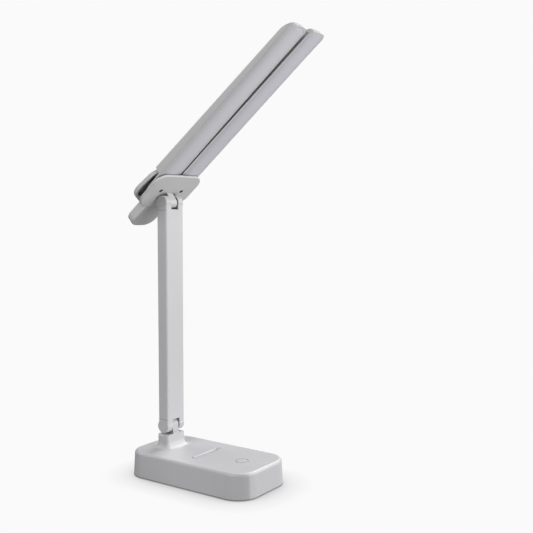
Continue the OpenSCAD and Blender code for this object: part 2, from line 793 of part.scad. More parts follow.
// Upper plate with the two bosses that the bars turn on
module bracket_upper_plate() color(body_grey) in_head() difference() {
    union() {
        slab(top_plate, top_0, top_1);
        at_pivots() translate([0, 0, low_1 + skim]) cylinder(d = boss_d, h = top_0 - low_1 + over);
    }
    at_pivots() translate([0, 0, low_1 - over]) cylinder(d = pivot_shank_d + seat, h = root_t + root_gap + over);
}

module bar_pivot_screws() color(steel) in_head() at_pivots() difference() {
    seat_z = low_0 + 2 * low_plate_t / 3;
    union() {
        translate([0, 0, seat_z - pivot_head_t]) cylinder(d = pivot_head_d, h = pivot_head_t);
        translate([0, 0, seat_z - pivot_head_t])
            cylinder(d = pivot_shank_d, h = pivot_head_t + root_t + root_gap - 1);
    }
    for (turn = [0, 90]) rotate([0, 0, turn])
        translate([0, 0, seat_z - pivot_head_t]) cube([2.6, 0.6, 1.2], center = true);
}

module bar_washers() color(steel) in_head() at_pivots() translate([0, 0, root_1]) difference() {
    cylinder(d = boss_d + 6, h = root_gap);
    translate([0, 0, -over]) cylinder(d = boss_d + 4 * skim, h = root_gap + 2 * over);
}

// Frame of a bar's sloping back: x along it towards the tip, z out of it
module at_back() {
    translate([step_x, 0, bar_1]) rotate([0, taper, 0]) children();
}

// Everything under the sloping back, with its long edges rounded
module under_back() {
    half = bar_w / 2;
    at_back() translate([-2 * step_x, 0, 0]) rotate([90, 0, 90]) linear_extrude(bar_tip + 3 * step_x) {
        translate([-half, -2 * bar_t]) square([bar_w, 2 * bar_t - bar_back_r]);
        translate([-half + bar_back_r, -bar_t]) square([bar_w - 2 * bar_back_r, bar_t]);
        for (side = [-1, 1]) translate([side * (half - bar_back_r), -bar_back_r]) circle(r = bar_back_r);
    }
}

// Hollow behind the diffuser's ledge, up to the bar's back wall
module bar_hollow() intersection() {
    slab(hollow_plan, bar_0 + rim_depth + diffuser_t + ledge_t, bar_1);
    at_back() translate([-step_x, -bar_w, -2 * bar_t]) cube([bar_tip + step_x, 2 * bar_w, 2 * bar_t - bar_back_t]);
}

// One light bar, centred on its own middle line in the head frame
module bar_housing() difference() {
    intersection() {
        slab(bar_plan, bar_0, bar_1, bar_edge_r);
        under_back();
    }
    translate([-bar_w, -bar_w, root_1]) cube([bar_w + step_x, 2 * bar_w, bar_t]);
    translate([bar_pivot, 0, bar_0 - over]) cylinder(d = boss_d + 2 * pin_play, h = root_t + 2 * over);
    slab(inset(light_plan, rim_w), bar_0 - over, bar_0 + rim_depth + diffuser_t);
    slab(inset(light_plan, rim_w + ledge_w), bar_0, bar_0 + rim_depth + diffuser_t + ledge_t + seat);
    bar_hollow();
}

module bar_diffuser()
    slab(inset(light_plan, rim_w + seat / 2), bar_0 + rim_depth, bar_0 + rim_depth + diffuser_t);

// Flat on the inside of the sloping back
module bar_strip() at_back() translate([bar_wall + 2, -strip_w / 2, -bar_back_t - strip_t])
    cube([bar_tip - step_x - 2 * bar_wall - 4, strip_w, strip_t]);

module bar_chips() {
    span = bar_tip - step_x - 2 * chip_inset;
    for (i = [0:chip_count - 1]) at_back()
        translate([chip_inset + span * i / (chip_count - 1), 0, -bar_back_t - strip_t - 0.4])
            cube([2.8, 3.5, 0.8], center = true);
}

module on_left() {
    color(body_grey) in_head() translate([0, -bar_y, 0]) children();
}

module on_right() {
    color(body_grey) in_head() translate([0, bar_y, 0]) children();
}

module left_bar_housing() on_left() bar_housing();
module left_bar_diffuser() color(milk) on_left() bar_diffuser();
module left_bar_strip() color("white") on_left() bar_strip();
module left_bar_chips() color("khaki") on_left() bar_chips();
module right_bar_housing() on_right() bar_housing();
module right_bar_diffuser() color(milk) on_right() bar_diffuser();
module right_bar_strip() color("white") on_right() bar_strip();
module right_bar_chips() color("khaki") on_right() bar_chips();

base_housing();
base_bottom_cover();
anti_slip_pad();
base_screws();
steel_weight();
battery_holder();
battery_cell();
control_board();
board_components();
touch_pad();
status_lens();
charge_board();
charge_socket();
arm_tube();
arm_lower_fork();
arm_upper_fork();
arm_lead();
lower_hinge_pin();
lower_hinge_nut();
lower_hinge_washers();
lower_hinge_caps();
upper_hinge_pin();
upper_hinge_nut();
upper_hinge_washers();
upper_hinge_caps();
bracket_lower_plate();
bracket_upper_plate();
bar_pivot_screws();
bar_washers();
left_bar_housing();
left_bar_diffuser();
left_bar_strip();
left_bar_chips();
right_bar_housing();
right_bar_diffuser();
right_bar_strip();
right_bar_chips();
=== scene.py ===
import math

import bpy
from mathutils import Matrix, Vector


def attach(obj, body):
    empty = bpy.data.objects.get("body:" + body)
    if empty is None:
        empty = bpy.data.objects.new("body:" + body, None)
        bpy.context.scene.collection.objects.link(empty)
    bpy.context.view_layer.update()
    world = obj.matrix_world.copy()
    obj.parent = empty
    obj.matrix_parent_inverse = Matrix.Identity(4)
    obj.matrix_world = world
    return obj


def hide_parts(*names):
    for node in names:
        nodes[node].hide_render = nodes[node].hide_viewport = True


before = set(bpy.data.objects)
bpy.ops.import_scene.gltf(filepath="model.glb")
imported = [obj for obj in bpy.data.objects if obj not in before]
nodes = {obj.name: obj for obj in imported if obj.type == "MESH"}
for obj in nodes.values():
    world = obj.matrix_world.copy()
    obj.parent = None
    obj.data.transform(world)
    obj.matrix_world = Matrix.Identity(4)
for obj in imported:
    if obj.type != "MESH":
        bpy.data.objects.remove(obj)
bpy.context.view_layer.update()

photo_px, focal_px, centre_drop_px = 533, 812.9, 33.5
sensor_mm = 36
pitch, yaw, roll = math.radians(6.35), math.radians(34.23), math.radians(0.35)
lamp_right, lamp_down, lamp_ahead = -0.05775, 0.17722, 0.80747
floor_half = 9
white_seen, room_glow = 0.955, 0.02
glow_ahead, glow_beside, glow_behind = 0.3, 0.55, 0.2
glow_fade = 0.06
contact_shadow_reach = 0.034
painted_shadow_tones = ((0.25, (0.36, 0.36, 0.37, 1)), (0.72, (0.84, 0.84, 0.845, 1)), (1.0, (1, 1, 1, 1)))
softbox_width, softbox_height, aim_height = 2.4, 2.1, 0.2
softboxes = (
    ("front_softbox", (3.97, 0, 1.08), 95), ("corner_softbox", (2.8, 2.8, 1.08), 69),
    ("left_softbox", (0, -2.83, 2.71), 80), ("right_softbox", (0, 2.83, 2.71), 114),
    ("back_softbox", (-2.83, 0, 2.71), 37))

right = Vector((math.cos(yaw), math.sin(yaw), 0))
down = Vector((math.sin(yaw) * math.sin(pitch), -math.cos(yaw) * math.sin(pitch), -math.cos(pitch)))
ahead = Vector((-math.sin(yaw) * math.cos(pitch), math.cos(yaw) * math.cos(pitch), -math.sin(pitch)))
across = right * math.cos(roll) - down * math.sin(roll)
up = -(right * math.sin(roll) + down * math.cos(roll))
camera_data = bpy.data.cameras.new("photo_camera")
camera_data.sensor_width = sensor_mm
camera_data.lens = focal_px / photo_px * sensor_mm
camera_data.shift_y = centre_drop_px / photo_px
camera_data.clip_start, camera_data.clip_end = 0.05, 60
camera = bpy.data.objects.new("photo_camera", camera_data)
bpy.context.collection.objects.link(camera)
camera.matrix_world = Matrix([(across[k], up[k], -ahead[k], 0) for k in range(3)] + [(0, 0, 0, 1)])
camera.location = -(right * lamp_right + down * lamp_down + ahead * lamp_ahead)
bpy.context.scene.camera = camera


def add(tree, kind, **values):
    """Adds a shader node. A name with a capital is one of its sockets, any other one of its settings."""
    made = tree.nodes.new(kind)
    for name, value in values.items():
        if name[0].isupper():
            made.inputs[name.replace("_", " ")].default_value = value
        else:
            setattr(made, name, value)
    return made


def wire(tree, *pairs):
    for source, socket in pairs:
        tree.links.new(source, socket)


def worked_out(tree, operation, *values):
    """The result of one arithmetic node. It takes numbers as well as outputs of other nodes."""
    step = add(tree, "ShaderNodeMath", operation=operation)
    for socket, value in zip(step.inputs, values):
        if isinstance(value, (int, float)):
            socket.default_value = value
        else:
            wire(tree, (value, socket))
    return step.outputs[0]


def lit_and_seen(tree, lighting, seen, output):
    """One shader lights the lamp, and the camera sees the other."""
    ray = add(tree, "ShaderNodeLightPath")
    mix = add(tree, "ShaderNodeMixShader")
    wire(tree, (ray.outputs["Is Camera Ray"], mix.inputs["Fac"]), (lighting.outputs[0], mix.inputs[1]),
         (seen.outputs[0], mix.inputs[2]), (mix.outputs["Shader"], output.inputs["Surface"]))


floor_mesh = bpy.data.meshes.new("floor")
floor_corners = [(x * floor_half, y * floor_half, 0) for x, y in ((-1, -1), (1, -1), (1, 1), (-1, 1))]
floor_mesh.from_pydata(floor_corners, [], [(0, 1, 2, 3)])
floor = bpy.data.objects.new("floor", floor_mesh)
bpy.context.collection.objects.link(floor)
floor_paper = bpy.data.materials.new("white_paper")
floor_paper.use_nodes = True
# Aimed at as a light of its own, so large a paper would take samples from the softboxes and leave grain.
floor_paper.cycles.emission_sampling = "NONE"
paper = floor_paper.node_tree
paper.nodes.remove(paper.nodes["Principled BSDF"])
# Painted contact shadow: the paper the camera sees is darker where the lamp stands near it, as far as
# ambient occlusion reaches.
near_lamp = add(paper, "ShaderNodeAmbientOcclusion", Distance=contact_shadow_reach)
painted_contact_shadow = add(paper, "ShaderNodeValToRGB")
painted_contact_shadow.color_ramp.elements.new(0.5)
for stop, (position, tone) in zip(painted_contact_shadow.color_ramp.elements, painted_shadow_tones):
    stop.position, stop.color = position, tone
paper_seen = add(paper, "ShaderNodeEmission", Strength=white_seen)
paper_glow = add(paper, "ShaderNodeEmission", Color=(1, 1, 1, 1))
on_paper = add(paper, "ShaderNodeSeparateXYZ")
wire(paper, (add(paper, "ShaderNodeNewGeometry").outputs["Position"], on_paper.inputs["Vector"]),
     (near_lamp.outputs["AO"], painted_contact_shadow.inputs["Fac"]),
     (painted_contact_shadow.outputs["Color"], paper_seen.inputs["Color"]))
off_side = worked_out(paper, "ABSOLUTE", on_paper.outputs["Y"])
paper_fades = []
for operation, first, second, low, high in (
        ("ADD", on_paper.outputs["X"], off_side, glow_behind, 1),
        ("SUBTRACT", off_side, on_paper.outputs["X"], glow_ahead, glow_beside)):
    fade = add(paper, "ShaderNodeMapRange", From_Min=-glow_fade, From_Max=glow_fade, To_Min=low, To_Max=high)
    wire(paper, (worked_out(paper, operation, first, second), fade.inputs["Value"]))
    paper_fades.append(fade.outputs["Result"])
wire(paper, (worked_out(paper, "MULTIPLY", *paper_fades), paper_glow.inputs["Strength"]))
lit_and_seen(paper, paper_glow, paper_seen, paper.nodes["Material Output"])
floor_mesh.materials.append(floor_paper)

room = bpy.data.worlds.new("white_room")
bpy.context.scene.world = room
room.use_nodes = True
room_light = room.node_tree.nodes["Background"]
room_light.inputs["Color"].default_value = (1, 1, 1, 1)
room_light.inputs["Strength"].default_value = room_glow
room_seen = add(room.node_tree, "ShaderNodeBackground", Color=(1, 1, 1, 1), Strength=white_seen)
lit_and_seen(room.node_tree, room_light, room_seen, room.node_tree.nodes["World Output"])

for name, place, watts in softboxes:
    lamp = bpy.data.lights.new(name, "AREA")
    lamp.shape, lamp.size, lamp.size_y, lamp.energy = "RECTANGLE", softbox_width, softbox_height, watts
    softbox = bpy.data.objects.new(name, lamp)
    bpy.context.collection.objects.link(softbox)
    softbox.location = place
    to_lamp = Vector((0, 0, aim_height)) - Vector(place)
    softbox.rotation_euler = to_lamp.to_track_quat("-Z", "Y").to_euler()
bpy.context.scene.view_settings.view_transform = "Standard"
bpy.context.scene.view_settings.look = "None"


# Base shell: one injection moulding in light grey ABS with a satin spark-eroded skin. The neck and the hinge
# tongue are moulded on, and the tool forms the phone slot and the touch ring. The hinge caps are pressed on.
def new_group(name, takes, gives):
    """A shader group with these sockets. A name that ends in Colour is a colour, any other one a value."""
    group = bpy.data.node_groups.new(name, "ShaderNodeTree")
    for in_out, names in (("INPUT", takes), ("OUTPUT", gives)):
        for socket in names:
            kind = "NodeSocketColor" if socket.endswith("Colour") else "NodeSocketFloat"
            group.interface.new_socket(name=socket, in_out=in_out, socket_type=kind)
    return group, group.nodes.new("NodeGroupInput").outputs, group.nodes.new("NodeGroupOutput").inputs


def mixed(tree, share, first, second):
    """The colour that has this share of the second one in it."""
    mix = add(tree, "ShaderNodeMix", data_type="RGBA")
    share_in, first_in, second_in, colour_out = 0, 6, 7, 2
    wire(tree, (share, mix.inputs[share_in]), (first, mix.inputs[first_in]), (second, mix.inputs[second_in]))
    return mix.outputs[colour_out]


def scaled(tree, colour, share):
    """A colour made darker or lighter, with its hue kept."""
    scaling = add(tree, "ShaderNodeVectorMath", operation="SCALE")
    wire(tree, (colour, scaling.inputs[0]), (share, scaling.inputs["Scale"]))
    return scaling.outputs["Vector"]


skin, skin_in, skin_out = new_group(
    "moulded_skin", ("Colour", "Deep Colour", "Grain Scale", "Roughness", "Handling", "Crevice Reach"),
    ("Colour", "Roughness", "Height"))
skin_place = add(skin, "ShaderNodeTexCoord")
grain = add(skin, "ShaderNodeTexNoise", Detail=3.0)
flow = add(skin, "ShaderNodeTexNoise", Scale=14.0, Detail=2.0)
touch = add(skin, "ShaderNodeTexNoise", Scale=55.0, Detail=4.0)
for texture in (grain, flow, touch):
    wire(skin, (skin_place.outputs["Object"], texture.inputs["Vector"]))
handled = add(skin, "ShaderNodeMapRange", From_Min=0.3, From_Max=0.7)
# Painted shade: the colour is darkened in crevices, recesses and between parts, as far as ambient occlusion
# reaches.
crevice = add(skin, "ShaderNodeAmbientOcclusion")
painted_crevice_shade = add(skin, "ShaderNodeMapRange", From_Min=0.12, From_Max=0.62, To_Min=0.25, To_Max=1.0)
wire(skin, (skin_in["Grain Scale"], grain.inputs["Scale"]),
     (skin_in["Crevice Reach"], crevice.inputs["Distance"]),
     (touch.outputs["Fac"], handled.inputs["Value"]), (crevice.outputs["AO"], painted_crevice_shade.inputs["Value"]))
tinted = mixed(skin, flow.outputs["Fac"], skin_in["Colour"], skin_in["Deep Colour"])
crevice_shaded = scaled(skin, tinted, painted_crevice_shade.outputs["Result"])
touched = handled.outputs["Result"]
rough = worked_out(skin, "MULTIPLY_ADD", touched, skin_in["Handling"], skin_in["Roughness"])
wire(skin, (crevice_shaded, skin_out["Colour"]), (rough, skin_out["Roughness"]),
     (grain.outputs["Fac"], skin_out["Height"]))


def surfaced(name, group, relief, relief_depth, **amounts):
    """A material that takes its colour, roughness and fine relief from a group with these amounts."""
    material = bpy.data.materials.new(name)
    material.use_nodes = True
    tree = material.node_tree
    shader = tree.nodes["Principled BSDF"]
    surface = add(tree, "ShaderNodeGroup", node_tree=group, **amounts)
    bump = add(tree, "ShaderNodeBump", Strength=relief, Distance=relief_depth)
    wire(tree, (surface.outputs["Colour"], shader.inputs["Base Color"]),
         (surface.outputs["Roughness"], shader.inputs["Roughness"]),
         (surface.outputs["Height"], bump.inputs["Height"]),
         (bump.outputs["Normal"], shader.inputs["Normal"]))
    return material, shader


skin_depth = 0.0002


def moulded(name, colour, deep, roughness=0.42, handling=0.06, grain_scale=2600, relief=0.05, gloss=0.5,
            reach=0.004):
    """A moulded plastic with its skin, slight flow marks, the uneven gloss that handling leaves, and painted
    shade in its crevices.
    """
    material, shader = surfaced(
        name, skin, relief, skin_depth, Colour=(*colour, 1), Deep_Colour=(*deep, 1), Grain_Scale=grain_scale,
        Roughness=roughness, Handling=handling, Crevice_Reach=reach)
    shader.inputs["Specular IOR Level"].default_value = gloss
    return material


class PlaceShade:
    """A shader group that paints light and shade into a piece's colour, by where each spot of it lies and
    which way it faces.
    """

    def __init__(self, name, *amounts):
        self.group, self.takes, self.gives = new_group(name, ("Colour", *amounts), ("Colour",))
        spot = add(self.group, "ShaderNodeTexCoord")
        self.at, self.facing = (self.parts(spot.outputs[kind]) for kind in ("Object", "Normal"))

    def parts(self, vector):
        split = add(self.group, "ShaderNodeSeparateXYZ")
        wire(self.group, (vector, split.inputs["Vector"]))
        return split.outputs

    def work(self, operation, *values):
        return worked_out(self.group, operation, *values)

    def product(self, first, *others):
        for other in others:
            first = self.work("MULTIPLY", first, other)
        return first

    def off_middle(self, parts):
        """How far a place or a facing is from the lamp's middle plane, on either side."""
        return self.work("ABSOLUTE", parts["Y"])

    def along(self, parts, x, z):
        """How far a place or a facing reaches along the direction x, 0, z."""
        return self.work("MULTIPLY_ADD", parts["X"], x, self.work("MULTIPLY", parts["Z"], z))

    def part(self, value, start, width):
        """Rises from 0 at the start to 1 at this width past it."""
        past = self.work("DIVIDE", self.work("SUBTRACT", value, start), width)
        return self.work("MINIMUM", self.work("MAXIMUM", past, 0), 1)

    def gain(self, part, amount):
        """Painted light: lighter by this amount where the part is 1."""
        return self.work("MULTIPLY_ADD", part, self.takes[amount], 1)

    def loss(self, part, amount):
        """Painted shade: darker by this amount where the part is 1."""
        return self.work("SUBTRACT", 1, self.product(part, self.takes[amount]))

    def finish(self, *shares):
        shaded = scaled(self.group, self.takes["Colour"], self.product(*shares))
        wire(self.group, (shaded, self.gives["Colour"]))

    def on(self, material, **amounts):
        """Places the group before the material's base colour, with these amounts."""
        tree = material.node_tree
        base_colour = tree.nodes["Principled BSDF"].inputs["Base Color"]
        shade = add(tree, "ShaderNodeGroup", node_tree=self.group, **amounts)
        wire(tree, (base_colour.links[0].from_socket, shade.inputs["Colour"]),
             (shade.outputs["Colour"], base_colour))
        return material


# Places in the shading of a piece are in metres, as the lamp stands at rest.
slot_front, slot_rear, slot_half, slot_shadow_edge = 0.0032, -0.0045, 0.0213, -0.0165
slot_mouth, slot_shown = 0.0252, 0.0056
foot_line, base_top_line = 0.0017, 0.0262
corner_start, corner_blend = 0.36, 0.125
# Painted light and shade on the base: the slot's walls are lighter as painted light, except at one end,
# which is darker as painted shadow. A band at the foot is darker as painted shadow, and the front corners
# are darker as painted shade where they turn to the front.
base_shade = PlaceShade("place_on_base", "Slot Gain", "End Shade", "Foot Shade", "Corner Shade")
base_x, base_y, base_z = base_shade.at
in_slot = base_shade.product(
    base_shade.work("LESS_THAN", base_x, slot_front), base_shade.work("GREATER_THAN", base_x, slot_rear),
    base_shade.work("LESS_THAN", base_shade.off_middle(base_shade.at), slot_half),
    base_shade.work("LESS_THAN", base_z, slot_mouth),
    base_shade.work("GREATER_THAN", base_z, slot_mouth - slot_shown))
slot_painted_light = base_shade.product(in_slot, base_shade.work("GREATER_THAN", base_y, slot_shadow_edge))
slot_end_painted_shadow = base_shade.work("SUBTRACT", in_slot, slot_painted_light)
foot_painted_shadow = base_shade.work("LESS_THAN", base_z, foot_line)
corner_painted_shade = base_shade.product(
    base_shade.part(base_shade.off_middle(base_shade.facing), corner_start, corner_blend),
    base_shade.work("MAXIMUM", base_shade.facing["X"], 0),
    base_shade.work("LESS_THAN", base_z, base_top_line))
base_shade.finish(
    base_shade.gain(slot_painted_light, "Slot Gain"), base_shade.loss(slot_end_painted_shadow, "End Shade"),
    base_shade.loss(foot_painted_shadow, "Foot Shade"), base_shade.loss(corner_painted_shade, "Corner Shade"))
base_grey = base_shade.on(
    moulded("base_grey_abs", (0.54, 0.54, 0.555), (0.512, 0.512, 0.527), reach=0.002),
    Slot_Gain=0.42, End_Shade=0.45, Foot_Shade=0.55, Corner_Shade=0.3)
satin_grey = moulded("satin_grey_abs", (0.56, 0.56, 0.57), (0.53, 0.53, 0.54))


def finish_node(name, material):
    """The piece of the frame with this name gets this material."""
    materials = nodes[name].data.materials
    materials.clear()
    materials.append(material)


finish_node("base_housing", base_grey)
for name in ("lower_hinge_caps", "upper_hinge_caps"):
    finish_node(name, satin_grey)

# Arm: a rectangular ABS tube with rounded edges. The two forks with their round ears are plugged and glued
# into its ends, and a fine shadow line on the sides shows where each one butts against it.
seam_heights, seam_half, side_facing = (0.0551, 0.2642), 0.0004, 0.6
arm_shade = PlaceShade("place_on_arm", "Seam Shade")
seams = [arm_shade.work("COMPARE", arm_shade.at["Z"], height, seam_half) for height in seam_heights]
arm_side = arm_shade.work("GREATER_THAN", arm_shade.off_middle(arm_shade.facing), side_facing)
arm_shade.finish(arm_shade.loss(arm_shade.product(arm_shade.work("ADD", *seams), arm_side), "Seam Shade"))
arm_grey = arm_shade.on(moulded("arm_grey_abs", (0.56, 0.56, 0.57), (0.53, 0.53, 0.54)), Seam_Shade=0.3)
for name in ("arm_tube", "arm_lower_fork", "arm_upper_fork"):
    finish_node(name, arm_grey)

# Light bars: two slim ABS shells, thin at the root that turns between the bracket's plates, then stepped up
# and tapered to the tip. The mould rounds their edges and crowns the light side slightly. A milky cover is
# seated in each opening.
import bmesh

# Sizes of the head are in millimetres, with x from the upper hinge along the bars and z towards their backs.
mm = 0.001
head_tilt = math.radians(39.8)
head_axis = (-0.0466, 0, 0.2714)
tilt_x, tilt_z = math.cos(head_tilt), math.sin(head_tilt)
in_head = Matrix((
    (tilt_x, 0, -tilt_z, head_axis[0]), (0, 1, 0, 0), (tilt_z, 0, tilt_x, head_axis[2]), (0, 0, 0, 1)))
bar_half, bar_middle = 14.1, 14.9
bar_pivot, bar_tip = 8.8, 217.4
face_corner_r, back_corner_r, tip_lean = 6.5, 12.5, 0.8
light_z, back_z, tip_back_z = 10.1, 21.3, 17.1
step_x, step_half, root_front_z, root_rear_z = 27.1, 0.35, 14.7, 13.2
hub_z, hub_end_x, hub_foot_r, hub_top_r, bore_r = 15.3, 20, 8, 7.6, 4.55
inner_pull, pull_runs = 1.4, ((0.3, 24, 34), (0.7, 30, 215))
crown_r, crown_start_x, crown_full_x = 74.0, 14, 26
face_edge_r, back_edge_r, edge_spare, side_rise = 1.9, 2.2, 0.4, 7
inner_edge_share, inner_edge_from, inner_edge_to = 0.3, 2, 11
tip_edge_cut, tip_edge_from, tip_edge_to = 0.6, 204, 213
rim_w, opening_start, opening_corner_extra = 2.5, 19.3, 1.5
least_corner_r, least_opening_r = 0.4, 0.8
cover_play, seat_bevel, cover_depth, ledge_w, ledge_depth = 0.03, 0.04, 2.2, 1.5, 3.2
trough_wall, trough_low, trough_back, trough_before_step, back_past_step = 2.4, 3.4, 1.4, 0.6, 1
cover_inset, cover_thickness, cover_sink = 0.06, 2.1, 0.02
cover_edge = ((cover_inset, 0.2), (0.1, 0.08), (0.25, cover_sink))
root_steps, tip_steps, round_steps, circle_steps, back_rows, cover_rows = 28, 12, 7, 32, 8, 12
along_bar = [14, 20, 24, 26, 26.5, 26.8, 26.95, 27.1, 27.25, 27.6, 28.3, 30, 38, 50]
along_bar += range(70, 200, 20)


def ease(low, high, value):
    t = min(1.0, max(0.0, (value - low) / (high - low)))
    return t * t * (3 - 2 * t)


def arc(x, y, r, start, end, steps):
    turns = [math.radians(start + (end - start) * k / steps) for k in range(steps + 1)]
    return [(x + r * math.cos(turn), y + r * math.sin(turn)) for turn in turns]


def circle(y, r):
    """Points round the line through a bar's pivot."""
    return arc(bar_pivot, y, r, 0, 360, circle_steps)[:-1]


def ring(y, r, z):
    return [(x, side_y, z) for x, side_y in circle(y, r)]


def round_tip(root, sides, half, tip_x, corner):
    """A loop from the root along one side, round the tip and back along the other side."""
    tip_y = half - corner
    tip = arc(tip_x, tip_y, corner, 90, 0, tip_steps) + arc(tip_x, -tip_y, corner, 0, -90, tip_steps)
    return root + [(x, half) for x in sides] + tip + [(x, -half) for x in reversed(sides)]


def bar_plan(inset, rise=0.0):
    """Outline of a bar, inset by this much. Towards its back, at rise 1, the tip draws in and is rounder."""
    half = bar_half - inset
    corner = max(face_corner_r + (back_corner_r - face_corner_r) * rise - inset, least_corner_r)
    root = arc(bar_pivot, 0, half, 270, 90, root_steps)
    return round_tip(root, along_bar, half, bar_tip - tip_lean * rise - inset - corner, corner)


def opening_plan(inset, start=opening_start):
    """Outline of the light opening, inset from the bar's sides."""
    half = bar_half - inset
    corner = max(face_corner_r + opening_corner_extra - inset, least_opening_r)
    root_x, root_y, turn_steps = start + inset + corner, half - corner, root_steps // 2
    near_side = arc(root_x, -root_y, corner, 270, 180, turn_steps)
    far_side = arc(root_x, root_y, corner, 180, 90, turn_steps)[:-1]
    sides = [max(x, root_x) for x in along_bar]
    return round_tip(near_side + far_side, sides, half, bar_tip - inset - corner, corner)


def narrowed(x, y):
    """The inner side of a bar draws in towards the tip, so the gap between the bars widens."""
    pull = sum(share * ease(start, full, x) for share, start, full in pull_runs)
    return y - inner_pull * pull * ease(0, bar_half, y)


def back_at(x):
    """Height of a bar's back: sloping root, step, then the long taper to the tip."""
    root_length = step_x + bar_half - bar_pivot
    root = root_front_z + (root_rear_z - root_front_z) * (step_x - x) / root_length
    slope = back_z + (tip_back_z - back_z) * (x - step_x) / (bar_tip - step_x)
    return root + (slope - root) * ease(step_x - step_half, step_x + step_half, x)


def face_at(x, y):
    """Height of a bar's light side: flat under the bracket, then crowned."""
    return light_z + (y * y / (2 * crown_r)) * ease(crown_start_x, crown_full_x, x)


def face_points(plan, depth=0.0):
    """A plan's points on a bar's light side, or this deep under it."""
    return [(x, narrowed(x, y), face_at(x, y) + depth) for x, y in plan]


def edge_points(radius, turn, from_back=False):
    """One loop of a bar's edge rounding. It is finer on the inner side, and at the tip of the light side."""
    inset, lift = radius * (1 - math.sin(turn)), radius * (1 - math.cos(turn))
    rise = 1 - lift / side_rise if from_back else lift / side_rise
    points = []
    for (x, y), (in_x, in_y) in zip(bar_plan(0, rise), bar_plan(inset, rise)):
        share = 1 - (1 - inner_edge_share) * ease(inner_edge_from, inner_edge_to, y)
        if not from_back:
            share *= 1 - tip_edge_cut * ease(tip_edge_from, tip_edge_to, x)
        height = lift * share * min(1, (back_at(x) - light_z) / (face_edge_r + back_edge_r + edge_spare))
        x, y = x + (in_x - x) * share, narrowed(x, y + (in_y - y) * share)
        points.append((x, y, back_at(x) - height if from_back else face_at(x, y) + height))
    return points


class Weld:
    """Collects loops of points in millimetres and joins neighbouring loops with quads."""

    def __init__(self):
        self.mesh = bmesh.new()

    def loop(self, points):
        return [self.mesh.verts.new(point) for point in points]

    def join(self, first, second, closed=True):
        count = len(first)
        for k in range(count if closed else count - 1):
            n = (k + 1) % count
            corners = [first[k], first[n], second[n], second[k]]
            corners = [v for i, v in enumerate(corners) if v not in corners[:i]]
            if len(corners) > 2:
                self.mesh.faces.new(corners)

    def lay(self, last, *loops):
        """Adds loops of points, each joined to the one before it, and returns the last."""
        for points in loops:
            now = self.loop(points)
            self.join(last, now)
            last = now
        return last

    def rows_across(self, left, right, count, crown=None):
        """Fills between two sides with rows. Under a crown they follow its height and meet at the ends."""
        rows = [left]
        for k in range(1, count):
            share = 1 - 2 * k / count
            row = []
            for a, b in zip(left, right):
                middle = (a.co + b.co) / 2
                y = middle.y + share * (a.co.y - b.co.y) / 2
                row.append((middle.x, y, crown(middle.x, y)) if crown else (a.co.x, y, middle.z))
            rows.append([left[0]] + self.loop(row[1:-1]) + [left[-1]] if crown else self.loop(row))
        rows.append(right)
        for a, b in zip(rows, rows[1:]):
            self.join(a, b, closed=False)
        return rows

    def fill(self, *loops):
        """Fills the area between an outer loop and the holes in it, seen from above."""
        same_spot = 1e-3
        edges, heights = [], {}
        for loop in loops:
            ring = [v for k, v in enumerate(loop) if (v.co - loop[k - 1].co).length > same_spot]
            for k, v in enumerate(ring):
                other = ring[(k + 1) % len(ring)]
                edges.append(self.mesh.edges.get((v, other)) or self.mesh.edges.new((v, other)))
                heights[v] = v.co.z
        for v in heights:
            v.co.z = 0
        bmesh.ops.triangle_fill(self.mesh, edges=edges, use_beauty=True)
        for v, z in heights.items():
            v.co.z = z

    def piece(self, name, place, mirror=False):
        """The welded mesh as an object at its place in the lamp, sharp only where it turns quickly."""
        weld_gap, sharp_turn = 1e-4, 30
        bmesh.ops.remove_doubles(self.mesh, verts=self.mesh.verts, dist=weld_gap)
        bmesh.ops.scale(self.mesh, vec=(mm, -mm if mirror else mm, mm), verts=self.mesh.verts)
        self.mesh.transform(place)
        bmesh.ops.recalc_face_normals(self.mesh, faces=self.mesh.faces)
        data = bpy.data.meshes.new(name)
        self.mesh.to_mesh(data)
        self.mesh.free()
        data.shade_smooth()
        data.set_sharp_from_angle(angle=math.radians(sharp_turn))
        made = bpy.data.objects.new(name, data)
        bpy.context.collection.objects.link(made)
        return made


def bar_place(mirror):
    return in_head @ Matrix.Translation((0, (1 if mirror else -1) * bar_middle * mm, 0))


